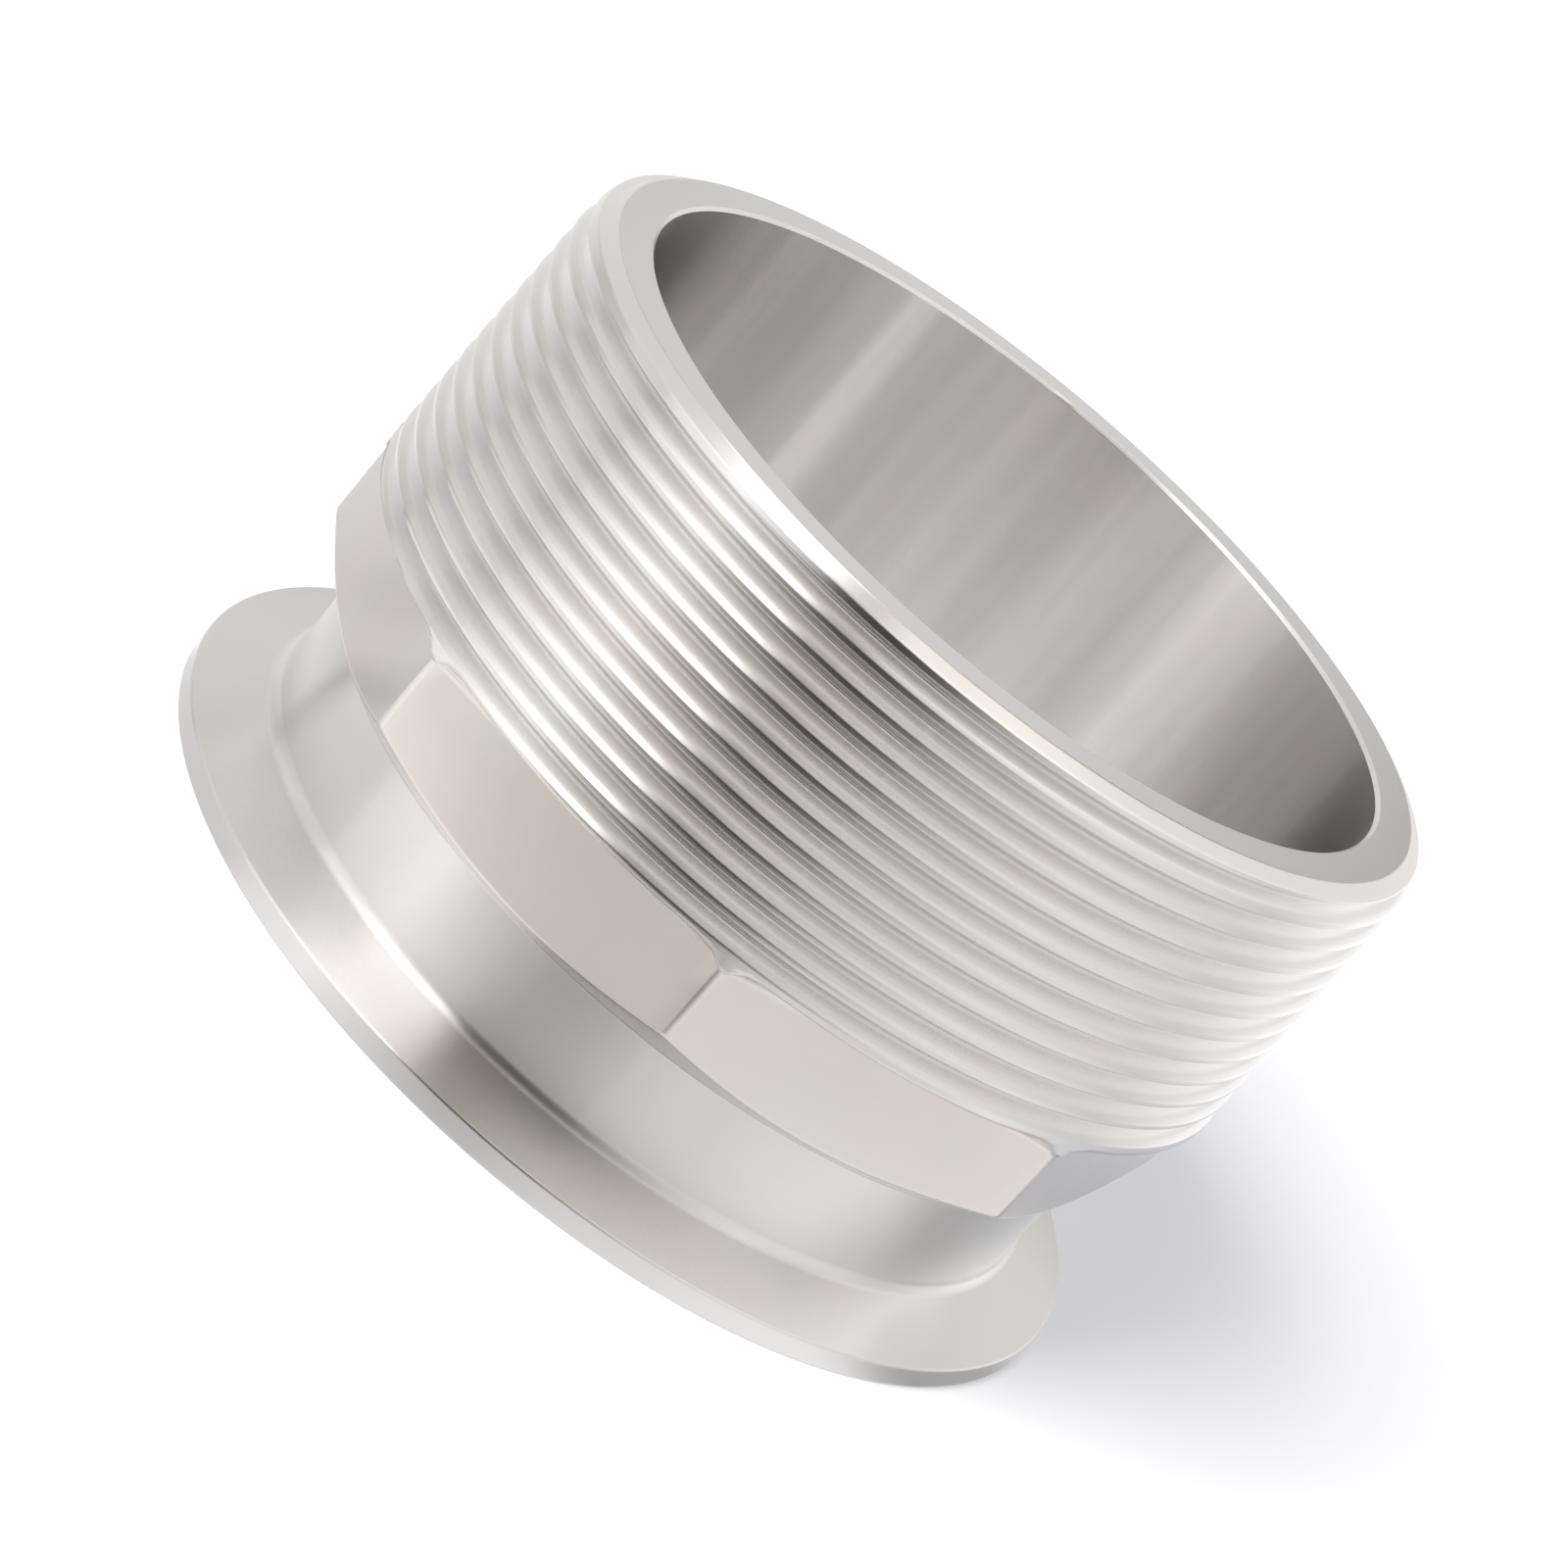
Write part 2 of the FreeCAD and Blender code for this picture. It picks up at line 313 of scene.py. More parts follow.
NECK_TABLE = (
    (-15.9, 0.46),
    (-6.0, 0.28),
    (2.0, 0.36),
    (12.0, 0.5, -0.05),
    (30.0, 0.52, -0.05),
    (100.0, 0.7),
    (160.0, 0.84),
    (179.0, 0.77),
    (183.0, 0.72),
    (184.2, 0.12),
    (187.2, 0.12),
    (188.4, 0.76),
    (194.0, 0.8),
    (200.0, 0.74, 0.01),
    (207.0, 0.7, 0.02),
    (213.0, 0.73, 0.03),
    (215.5, 0.92, 0.03),
    (221.0, 1.06, 0.04),
    (228.0, 1.14, 0.05),
    (235.0, 1.14, 0.05),
    (242.0, 0.86, 0.05),
    (249.0, 0.71, 0.05),
    (256.0, 0.6, 0.05),
    (263.0, 0.69, 0.04),
    (270.0, 0.79, 0.03),
    (277.0, 0.87, 0.01),
    (284.0, 0.9, 0.01),
    (298.0, 0.85, 0.01),
    (305.0, 0.93, 0.01),
    (326.0, 1.08, 0.01),
    (334.0, 0.98),
    (344.0, 0.46),
)
FAR_TABLE = (
    (-15.9, 0.98, -0.02),
    (0.0, 0.82, -0.05),
    (10.0, 0.66, -0.07),
    (17.0, 0.58, -0.08),
    (27.0, 0.6, -0.08),
    (90.0, 0.8),
    (150.0, 1.1),
    (163.0, 0.86),
    (169.8, 0.8),
    (171.2, 0.36),
    (174.4, 0.36),
    (175.8, 1.0),
    (178.0, 1.2),
    (187.0, 1.25),
    (196.0, 1.24),
    (212.0, 1.28),
    (220.0, 1.2),
    (229.0, 1.12, 0.01),
    (237.0, 0.88, 0.02),
    (243.0, 0.79, 0.04),
    (249.0, 0.8, 0.05),
    (255.0, 0.99, 0.04),
    (262.5, 0.62, 0.02),
    (270.0, 0.52, 0.02),
    (276.0, 0.7, 0.02),
    (283.0, 0.99, 0.02),
    (292.0, 1.06),
    (304.0, 0.8),
    (316.0, 0.7),
    (324.0, 0.77),
    (334.0, 1.06),
    (344.0, 1.0, -0.02),
)
FLANK_TABLE = (
    (-15.9, 1.18),
    (6.0, 1.26),
    (24.0, 1.4),
    (34.0, 1.52),
    (43.0, 1.6),
    (55.0, 1.66),
    (110.0, 1.5),
    (128.0, 1.42),
    (137.0, 1.32, -0.01),
    (146.0, 1.18, -0.01),
    (156.0, 1.04, -0.01),
    (161.0, 0.9, -0.01),
    (168.0, 0.86, -0.01),
    (171.0, 0.98, -0.01),
    (178.0, 1.06, -0.01),
    (187.0, 1.06, -0.02),
    (190.5, 0.98, -0.02),
    (191.5, 0.84, -0.02),
    (195.5, 0.86, -0.02),
    (198.0, 1.02),
    (204.0, 1.12),
    (213.0, 1.26),
    (221.0, 1.5),
    (229.0, 1.56),
    (235.0, 1.34, 0.01),
    (242.0, 1.2, 0.03),
    (250.0, 1.1, 0.05),
    (266.0, 1.1, 0.05),
    (278.0, 1.18, 0.02),
    (294.0, 1.15),
    (318.0, 1.17),
    (344.0, 1.18),
)
DEEP_TABLE = (
    (-15.9, 1.08),
    (6.0, 1.12),
    (24.0, 1.1),
    (60.0, 1.35),
    (120.0, 1.2),
    (146.0, 0.9, -0.03),
    (156.0, 0.74, -0.03),
    (163.0, 0.66, -0.03),
    (168.0, 0.7, -0.03),
    (176.0, 0.86, -0.02),
    (190.0, 0.86, -0.02),
    (192.0, 0.74, -0.02),
    (196.0, 0.8, -0.02),
    (200.0, 1.0),
    (208.0, 1.15),
    (216.0, 1.3),
    (222.0, 1.3),
    (229.0, 0.95),
    (236.0, 0.72, 0.02),
    (244.0, 0.6, 0.04),
    (266.0, 0.56, 0.05),
    (278.0, 0.88),
    (294.0, 1.1),
    (318.0, 1.16),
    (344.0, 1.08),
)
TABLE_PEAK = 1.7
# A lighter ring painted on the table for glossy rays, seen in the metal's reflections.
RING_REACH = (0.134, 0.142)
RING_LIFT = 0.22
# Dark patch painted on the table for glossy rays, which only the lower edges of the crests mirror:
# painted shade in their reflections.
PATCH_REACH = (0.106, 0.112, 0.128, 0.136)
PATCH_TABLE = (
    (-15.9, 1.0),
    (222.0, 1.0),
    (230.0, 1.3),
    (238.0, 1.3),
    (240.0, 1.0),
    (256.0, 1.0),
    (259.0, 0.3),
    (272.0, 0.3),
    (280.0, 0.8),
    (290.0, 1.0),
    (344.0, 1.0),
)
RIM_REACH = (0.064, 0.076)
NECK_REACH = (0.095, 0.104)

# Key lamp: azimuth, elevation, distance and size in metres, and power in watts.
KEY_LAMP = ("key", 252.0, 50.0, 1.2, (0.5, 0.5), 12.2)

# Camera of the photograph, from the fit: angles, place of the end face's centre before it, and
# the lens.
CAMERA_ELEVATION = 20.226
CAMERA_ROLL = -41.05
CAMERA_OFFSET = (25.251, 27.666, -535.8)
CAMERA_TARGET_Z = 69.39
CAMERA_LENS = 117.0
SENSOR_WIDTH = 36.0
CAMERA_CLIP = 0.01


def flat_columns():
    """Azimuths of the mesh's columns, from 0 to just under 360."""
    step = 360.0 / FLATS
    angles = []
    for flat in range(FLATS):
        corner = (flat + 0.5) * step
        angles.extend(corner + offset for offset in CORNER_OFFSETS)
        first = corner + CORNER_OFFSETS[-1]
        span = step - (CORNER_OFFSETS[-1] - CORNER_OFFSETS[0])
        parts = COLUMNS_PER_FLAT + 1
        angles.extend(first + span * k / parts for k in range(1, parts))
    return np.sort(np.array(angles) % 360.0)


def rounded(points, rounds, segments):
    """Open outline with its inner corners rounded, as (radius, height) rows."""
    out = [points[0]]
    for before, here, after, radius, count in zip(points, points[1:], points[2:], rounds, segments):
        a = np.subtract(before, here)
        b = np.subtract(after, here)
        a = a / np.hypot(*a)
        b = b / np.hypot(*b)
        half = 0.5 * math.acos(float(np.clip(a @ b, -1.0, 1.0)))
        reach = radius / math.tan(half)
        centre = here + (a + b) / np.hypot(*(a + b)) * radius / math.sin(half)
        start = here + a * reach - centre
        stop = here + b * reach - centre
        turn = math.atan2(start[0] * stop[1] - start[1] * stop[0], float(start @ stop))
        for k in range(count + 1):
            angle = turn * k / count
            c, s = math.cos(angle), math.sin(angle)
            out.append(tuple(centre + (start[0] * c - start[1] * s, start[0] * s + start[1] * c)))
    out.append(points[-1])
    return out


def octagon_radius(apothem, off_middle):
    """Radius of the rounded octagon at angles measured from the middle of a flat."""
    half = math.radians(180.0 / FLATS)
    tangent = (apothem - FLAT_CORNER_ROUND) * math.tan(half)
    flat = apothem / np.cos(off_middle)
    centre = (apothem - FLAT_CORNER_ROUND) / math.cos(half)
    delta = half - np.abs(off_middle)
    arc = centre * np.cos(delta) + np.sqrt(
        np.maximum(FLAT_CORNER_ROUND**2 - (centre * np.sin(delta)) ** 2, 0.0)
    )
    return np.where(np.abs(off_middle) <= np.arctan2(tangent, apothem), flat, arc)


def smooth_min(a, b, width):
    """Lower of two heights, with the corner between them eased over width."""
    overlap = np.maximum(width - np.abs(a - b), 0.0) / width
    return np.minimum(a, b) - overlap * overlap * width / 4.0


def turned_envelope(z, top):
    """Radius of the turned blank above the flats, before the thread is cut."""
    crest = CREST_END_R + (top - z) * TAPER
    lead_in = END_FACE_R + (top - z) * (LEAD_IN_R - END_FACE_R) / LEAD_IN_LENGTH
    first_r = CREST_END_R + FIRST_CREST_LENGTH * TAPER
    ease = LEAD_IN_R + (top - LEAD_IN_LENGTH - z) * (first_r - LEAD_IN_R) / (
        FIRST_CREST_LENGTH - LEAD_IN_LENGTH
    )
    blank = smooth_min(crest, ease, EASE_ROUND)
    blank = smooth_min(blank, lead_in, LEAD_IN_ROUND)
    return np.minimum(blank, LAND_R)


def threaded_radius(azimuth, z, top):
    """Radius of the threaded surface at azimuths in degrees and heights."""
    turns = (z - LAST_GROOVE_Z) / PITCH - (azimuth - LAST_GROOVE_AZIMUTH) / 360.0
    groove = np.round(turns)
    across = (turns - groove) * PITCH
    along = azimuth + 360.0 * groove
    centre_z = LAST_GROOVE_Z + PITCH * (along - LAST_GROOVE_AZIMUTH) / 360.0
    root = CREST_END_R + (top - centre_z) * TAPER - THREAD_DEPTH
    lift = np.maximum(LAST_GROOVE_AZIMUTH - along, 0.0) / RUNOUT_AZIMUTH * RUNOUT_LIFT
    crest_edge = 0.5 * (PITCH - CREST_FLAT)
    steep = (THREAD_DEPTH - SHOULDER_SLOPE * (crest_edge - SHOULDER_END)) / SHOULDER_END
    facing_up = across < 0.0
    slope = np.where(facing_up, steep, FLANK_SLOPE)
    flank = root + lift + slope * np.sqrt(across**2 + (ROOT_ROUND * FLANK_SLOPE / slope) ** 2)
    shoulder = root + lift + THREAD_DEPTH + SHOULDER_SLOPE * (np.abs(across) - crest_edge)
    shoulder = np.where(facing_up, shoulder, np.inf)
    groove_r = smooth_min(shoulder, flank, SHOULDER_ROUND)
    width = np.where(facing_up, CREST_ROUND, CREST_LOWER_ROUND)
    return smooth_min(turned_envelope(z, top), groove_r, width)


def lower_rows(bore_r, azimuth):
    """Rows from the bore's lower end, over the flange, to the foot of the collar."""
    back_top = RIM_TOP + (FLANGE_R - NECK_R) * math.tan(math.radians(BACK_ANGLE))
    # The first and last points only give the outline's ends their direction.
    outline = [
        (bore_r, 6.0),
        (bore_r, 0.0),
        (GROOVE_R - GROOVE_MOUTH, 0.0),
        (GROOVE_R - GROOVE_FLOOR, GROOVE_DEPTH),
        (GROOVE_R + GROOVE_FLOOR, GROOVE_DEPTH),
        (GROOVE_R + GROOVE_MOUTH, 0.0),
        (FLANGE_R, 0.0),
        (FLANGE_R, RIM_TOP),
        (NECK_R, back_top),
        (NECK_R, COLLAR_BASE),
        (NECK_R + 1.0, COLLAR_BASE + math.tan(math.radians(UNDERSIDE_ANGLE))),
    ]
    rounds = (0.2, 0.15, 0.6, 0.6, 0.15, RIM_ROUND, RIM_ROUND, NECK_FILLET, 0.35)
    segments = (2, 2, 3, 3, 2, 5, 5, 9, 3)
    ones = np.ones_like(azimuth)
    return [(r * ones, z * ones) for r, z in rounded(outline, rounds, segments)]


def collar_rows(azimuth):
    """Rows of the milled collar: underside, flats, their run-out and the land above."""
    step = 360.0 / FLATS
    off_middle = np.radians((azimuth + step / 2) % step - step / 2)
    slope = math.radians(UNDERSIDE_ANGLE)
    flat_r = octagon_radius(FLAT_APOTHEM, off_middle)
    edge_z = COLLAR_BASE + (flat_r - NECK_R) * math.tan(slope)
    rows = [
        (flat_r - SMALL_ROUND * math.cos(slope), edge_z - SMALL_ROUND * math.sin(slope)),
        (flat_r - 0.2 * SMALL_ROUND, edge_z + 0.12 * SMALL_ROUND),
        (flat_r, edge_z + SMALL_ROUND),
    ]
    arc_base = FLATS_TOP - FLATS_END_RADIUS
    rows.append((flat_r, np.full_like(azimuth, arc_base - 3.0)))
    # The run-out's arc stops where it meets the land.
    low = np.zeros_like(azimuth)
    high = np.full_like(azimuth, math.pi / 2)
    for _ in range(30):
        middle = 0.5 * (low + high)
        apothem = FLAT_APOTHEM + FLATS_END_RADIUS * (1.0 - np.cos(middle))
        inside = octagon_radius(apothem, off_middle) < LAND_R - SMALL_ROUND
        low = np.where(inside, middle, low)
        high = np.where(inside, high, middle)
    for fraction in (0.0, 0.2, 0.4, 0.6, 0.8, 1.0):
        turn = low * fraction
        apothem = FLAT_APOTHEM + FLATS_END_RADIUS * (1.0 - np.cos(turn))
        r = octagon_radius(apothem, off_middle)
        rows.append((r, arc_base + FLATS_END_RADIUS * np.sin(turn)))
    end_r, end_z = rows[-1]
    rows.append((np.maximum(end_r, LAND_R - SMALL_ROUND), end_z))
    rows.append((np.full_like(azimuth, LAND_R - 0.3 * SMALL_ROUND), end_z + 0.3 * SMALL_ROUND))
    rows.append((np.full_like(azimuth, LAND_R), end_z + SMALL_ROUND))
    return rows


def upper_rows(bore_r, azimuth, top):
    """Rows from the end face's outer edge, over the face and down the bore."""
    outline = [
        (END_FACE_R + 0.1, top - 0.05),
        (END_FACE_R - 0.05, top),
        (bore_r + BORE_CHAMFER, top),
        (bore_r, top - BORE_CHAMFER),
        (bore_r, 0.5 * top),
    ]
    ones = np.ones_like(azimuth)
    rows = rounded(outline, (0.05, 0.08, 0.08), (2, 2, 2))
    return [(r * ones, z * ones) for r, z in rows[1:]]


def thread_phases(top, low):
    """Heights of the thread's rows in pitches above the last groove, at its own azimuth."""
    first = (low - LAST_GROOVE_Z) / PITCH - 1.0
    last = (top - LAST_GROOVE_Z) / PITCH + 1.0
    dense_from = math.floor((top - FIRST_CREST_LENGTH - LAST_GROOVE_Z) / PITCH - 0.6) + 0.5
    coarse = [n + u / PITCH for n in range(math.floor(first), math.ceil(last)) for u in GROOVE_ROWS]
    coarse = [q for q in coarse if first <= q < dense_from - 1e-6]
    count = int((last - dense_from) * LEAD_IN_ROWS_PER_PITCH)
    dense = [dense_from + k / LEAD_IN_ROWS_PER_PITCH for k in range(count + 1)]
    return np.array(coarse + dense)


def zip_strip(left, right):
    """Faces between two columns whose points sit at different phases, each (phase, vertex)."""
    faces = []
    i, j = 0, 0
    while i < len(left) - 1 or j < len(right) - 1:
        up_left = left[i + 1][0] if i < len(left) - 1 else math.inf
        up_right = right[j + 1][0] if j < len(right) - 1 else math.inf
        if abs(up_left - up_right) < 1e-6:
            faces.append((left[i][1], right[j][1], right[j + 1][1], left[i + 1][1]))
            i, j = i + 1, j + 1
        elif up_left < up_right:
            faces.append((left[i][1], right[j][1], left[i + 1][1]))
            i += 1
        else:
            faces.append((left[i][1], right[j][1], right[j + 1][1]))
            j += 1
    return faces


def adapter_mesh(bore_r, top):
    """Closed mesh of the whole adapter: one column of rows for each azimuth."""
    azimuth = flat_columns()
    columns = len(azimuth)
    below = lower_rows(bore_r, azimuth)[1:-1]
    collar = collar_rows(azimuth)
    after = upper_rows(bore_r, azimuth, top)
    before = below + collar
    low_z = before[-1][1]
    high_z = top - 0.05
    phases = thread_phases(top, float(low_z.min()))
    thread = []
    for phase in phases:
        z = LAST_GROOVE_Z + PITCH * (phase + (azimuth - LAST_GROOVE_AZIMUTH) / 360.0)
        z = np.clip(z, low_z, high_z)
        thread.append((threaded_radius(azimuth, z, top), z))

    rows = before + thread + after
    r = np.array([row[0] for row in rows])
    z = np.array([row[1] for row in rows])
    angle = np.radians(azimuth)
    points = np.stack([r * np.cos(angle), r * np.sin(angle), z], axis=-1).reshape(-1, 3) * MM
    count = len(rows)
    index = np.arange(count * columns).reshape(count, columns)
    finish = np.full(count, TURNED)
    finish[len(below) + 1 : len(before) - 3] = MILLED
    finish[len(before) : len(before) + len(thread)] = THREADED
    finish[count - len(after) :] = FACED
    finish[count - 3 :] = BORED

    faces = []
    finishes = []
    for row in range(count):
        following = (row + 1) % count
        finishes.extend([finish[row]] * (columns - 1))
        for column in range(columns - 1):
            faces.append(
                (
                    index[row, column],
                    index[row, column + 1],
                    index[following, column + 1],
                    index[following, column],
                )
            )
    # The strip that closes the ring shifts by one pitch where it crosses the thread.
    start, stop = len(before) - 1, len(before) + len(thread)
    for row in list(range(start)) + list(range(stop, count)):
        following = (row + 1) % count
        finishes.append(finish[row])
        faces.append((index[row, -1], index[row, 0], index[following, 0], index[following, -1]))
    left = [(phase, index[start + 1 + k, -1]) for k, phase in enumerate(phases)]
    right = [(phase - 1.0, index[start + 1 + k, 0]) for k, phase in enumerate(phases)]
    below, above = -1000.0, 1000.0
    left = [(below, index[start, -1])] + left + [(above, index[stop, -1])]
    right = [(below, index[start, 0])] + right + [(above, index[stop, 0])]
    strip = zip_strip(left, right)
    faces.extend(strip)
    finishes.extend([THREADED] * len(strip))
    return points, faces, finishes


def build_piece(name, points, faces, finishes):
    """Smooth-shaded object of one mesh, with coinciding points joined."""
    mesh = bpy.data.meshes.new(name)
    mesh.from_pydata([tuple(p) for p in points], [], [tuple(int(i) for i in f) for f in faces])
    for finish in FINISHES:
        mesh.materials.append(steel_material(*finish))
    mesh.polygons.foreach_set("material_index", [int(f) for f in finishes])
    piece = bpy.data.objects.new(name, mesh)
    bpy.context.scene.collection.objects.link(piece)
    work = bmesh.new()
    work.from_mesh(mesh)
    bmesh.ops.remove_doubles(work, verts=work.verts, dist=0.002 * MM)
    bmesh.ops.dissolve_degenerate(work, edges=work.edges, dist=0.002 * MM)
    bmesh.ops.recalc_face_normals(work, faces=work.faces)
    work.to_mesh(mesh)
    work.free()
    mesh.shade_smooth()
    weigh = piece.modifiers.new("edge_shading", "WEIGHTED_NORMAL")
    weigh.mode = "FACE_AREA"
    weigh.weight = 50
    weigh.keep_sharp = True
    return piece


def steel_material(name, colour, roughness, spread, marks):
    """Bright stainless steel with tool lines round the axis and faint blotches."""
    line_shade, line_rough, line_height, blotch_shade, streak_shade = marks
    material = bpy.data.materials.new(name)
    material.use_nodes = True
    nodes = material.node_tree.nodes
    links = material.node_tree.links
    shader = nodes["Principled BSDF"]
    shader.inputs["Metallic"].default_value = 1.0
    if spread > 0.0:
        shader.inputs["Anisotropic"].default_value = spread
        shader.inputs["Anisotropic Rotation"].default_value = 0.25
        tangent = nodes.new("ShaderNodeTangent")
        tangent.direction_type = "RADIAL"
        tangent.axis = "Z"
        links.new(tangent.outputs["Tangent"], shader.inputs["Tangent"])

    place = nodes.new("ShaderNodeTexCoord").outputs["Object"]
    x, y, z = split(nodes, links, place)
    radius = length(nodes, links, combine(nodes, links, x, y, 0.0))
    along = math_node(nodes, links, "MULTIPLY_ADD", y, LINE_SLANT, x)
    along = math_node(nodes, links, "MULTIPLY", along, LINE_STRETCH)
    line_place = combine(nodes, links, radius, z, along)
    lines = noise_node(nodes, links, line_place, LINE_SCALE, 3.0)
    blotches = noise_node(nodes, links, place, BLOTCH_SCALE, 2.0)
    # Streaks along the axis: random tone, and on the bore, where their shade is strong, painted
    # reflection streaks too.
    stretched_z = math_node(nodes, links, "MULTIPLY", z, STREAK_STRETCH)
    streak_place = combine(nodes, links, x, y, stretched_z)
    streaks = noise_node(nodes, links, streak_place, STREAK_SCALE, 3.0)
    line_swing = centred(nodes, links, lines)
    blotch_swing = centred(nodes, links, blotches)
    streak_swing = centred(nodes, links, streaks)

    shade = math_node(nodes, links, "MULTIPLY", line_swing, line_shade)
    shade = math_node(nodes, links, "MULTIPLY_ADD", streak_swing, streak_shade, shade)
    shade = math_node(nodes, links, "MULTIPLY_ADD", blotch_swing, 0.5 * blotch_shade, shade)
    shade = math_node(nodes, links, "ADD", shade, 1.0)
    # Painted reflections on the bore: its colour is made lighter and darker in bands by azimuth.
    if name == FINISHES[BORED][0]:
        turns = azimuth_turns(nodes, links, x, y)
        painted_reflections = azimuth_ramp(nodes, links, turns, BORE_PAINTED_REFLECTIONS, BORE_PAINTED_REFLECTION_PEAK)
        shade = math_node(nodes, links, "MULTIPLY", shade, painted_reflections)
        shade = math_node(nodes, links, "MULTIPLY", shade, BORE_PAINTED_REFLECTION_PEAK)
    warm = [c * (1.0 + f * blotch_shade) for c, f in zip(colour, (1.0, -0.4, -0.6))]
    cool = [c * (1.0 + f * blotch_shade) for c, f in zip(colour, (-0.6, 0.3, 0.2))]
    tint = mix_colours(nodes, links, blotches, cool, warm)
    links.new(scaled(nodes, links, tint, shade), shader.inputs["Base Color"])

    rough = math_node(nodes, links, "MULTIPLY_ADD", line_swing, line_rough, roughness)
    rough = math_node(nodes, links, "MULTIPLY_ADD", blotch_swing, line_rough, rough)
    links.new(rough, shader.inputs["Roughness"])
    bump = nodes.new("ShaderNodeBump")
    bump.inputs["Distance"].default_value = line_height * MM
    links.new(lines, bump.inputs["Height"])
    links.new(bump.outputs[0], shader.inputs["Normal"])
    return material


def add_camera():
    """Camera of the photograph: place, tilt and lens from the fitted view."""
    elevation = math.radians(CAMERA_ELEVATION)
    part_x = Vector((1.0, 0.0, 0.0))
    part_z = Vector((0.0, math.cos(elevation), math.sin(elevation)))
    view = Matrix((part_x, part_z.cross(part_x), part_z)).transposed()
    view = Matrix.Rotation(math.radians(CAMERA_ROLL), 3, "Z") @ view
    to_part = Matrix.Rotation(math.radians(FITTED_TURN), 3, "Z")
    eye = to_part @ (-(view.transposed() @ Vector(CAMERA_OFFSET)))
    eye.z += CAMERA_TARGET_Z
    data = bpy.data.cameras.new("camera")
    data.lens = CAMERA_LENS
    data.sensor_width = SENSOR_WIDTH
    data.clip_start = CAMERA_CLIP
    camera = bpy.data.objects.new("camera", data)
    camera.matrix_world = Matrix.Translation(eye * MM) @ (to_part @ view.transposed()).to_4x4()
    bpy.context.scene.collection.objects.link(camera)
    bpy.context.scene.camera = camera


def feed(links, socket, value):
    """Give a socket a number or colour, or link it to another socket."""
    if isinstance(value, (int, float)):
        socket.default_value = value
    elif isinstance(value, (list, tuple)):
        socket.default_value = (*value, 1.0)
    else:
        links.new(value, socket)


def math_node(nodes, links, operation, *values):
    """Math node fed with sockets or numbers; gives its output socket."""
    node = nodes.new("ShaderNodeMath")
    node.operation = operation
    for socket, value in zip(node.inputs, values):
        feed(links, socket, value)
    return node.outputs[0]


def split(nodes, links, vector):
    """The three parts of a vector."""
    node = nodes.new("ShaderNodeSeparateXYZ")
    links.new(vector, node.inputs[0])
    return node.outputs


def combine(nodes, links, *values):
    """Vector of three sockets or numbers."""
    node = nodes.new("ShaderNodeCombineXYZ")
    for socket, value in zip(node.inputs, values):
        feed(links, socket, value)
    return node.outputs[0]


def length(nodes, links, vector):
    """Length of a vector."""
    node = nodes.new("ShaderNodeVectorMath")
    node.operation = "LENGTH"
    links.new(vector, node.inputs[0])
    return node.outputs["Value"]


def scaled(nodes, links, colour, factor):
    """Colour times a socket or number."""
    node = nodes.new("ShaderNodeVectorMath")
    node.operation = "SCALE"
    links.new(colour, node.inputs[0])
    feed(links, node.inputs["Scale"], factor)
    return node.outputs[0]


def add_ramp(nodes, links, value, stops, warmth=0.0):
    """Colour ramp with stops (place, level) or (place, level, warmth)."""
    ramp = nodes.new("ShaderNodeValToRGB")
    ramp.color_ramp.interpolation = "LINEAR"
    elements = ramp.color_ramp.elements
    while len(elements) > 1:
        elements.remove(elements[0])
    for k, (place, level, *tint) in enumerate(stops):
        element = elements[0] if k == 0 else elements.new(place)
        element.position = place
        warm = tint[0] if tint else warmth * max(1.0 - 2.0 * level, 0.0)
        red = level * (1.0 + RED_SHARE * warm)
        element.color = (red, level, level * (1.0 - BLUE_SHARE * warm), 1.0)
    links.new(value, ramp.inputs["Fac"])
    return ramp.outputs["Color"]


def azimuth_turns(nodes, links, x, y):
    """Azimuth of a direction or place, as a fraction of a turn."""
    azimuth = math_node(nodes, links, "ARCTAN2", y, x)
    turns = math_node(nodes, links, "DIVIDE", azimuth, 2 * math.pi)
    return math_node(nodes, links, "FRACT", turns)


def azimuth_ramp(nodes, links, turns, panels, peak, warmth=0.0):
    """Ramp over grey levels given by azimuth, as parts of the peak level."""
    stops = [((a + FITTED_TURN) / 360.0, level / peak, *tint) for a, level, *tint in panels]
    return add_ramp(nodes, links, turns, stops, warmth=warmth)


def mix_colours(nodes, links, factor, first, second, mode="MIX"):
    """Mix of two colours, each a socket or plain numbers."""
    node = nodes.new("ShaderNodeMix")
    node.data_type = "RGBA"
    node.blend_type = mode
    factor_in, first_in, second_in = node.inputs[0], node.inputs[6], node.inputs[7]
    feed(links, factor_in, factor)
    feed(links, first_in, first)
    feed(links, second_in, second)
    return node.outputs[2]


def noise_node(nodes, links, place, scale, detail):
    """Noise over the given places; gives its value socket."""
    node = nodes.new("ShaderNodeTexNoise")
    node.inputs["Scale"].default_value = scale
    node.inputs["Detail"].default_value = detail
    links.new(place, node.inputs["Vector"])
    return node.outputs[0]


def centred(nodes, links, noise):
    """Noise moved so that it swings evenly about zero."""
    return math_node(nodes, links, "SUBTRACT", noise, 0.5)


def smooth_range(nodes, links, value, start, stop, first=0.0, last=1.0):
    """Eased step from first to last as the value goes from start to stop."""
    node = nodes.new("ShaderNodeMapRange")
    node.interpolation_type = "SMOOTHSTEP"
    links.new(value, node.inputs["Value"])
    node.inputs["From Min"].default_value = start
    node.inputs["From Max"].default_value = stop
    node.inputs["To Min"].default_value = first
    node.inputs["To Max"].default_value = last
    return node.outputs["Result"]


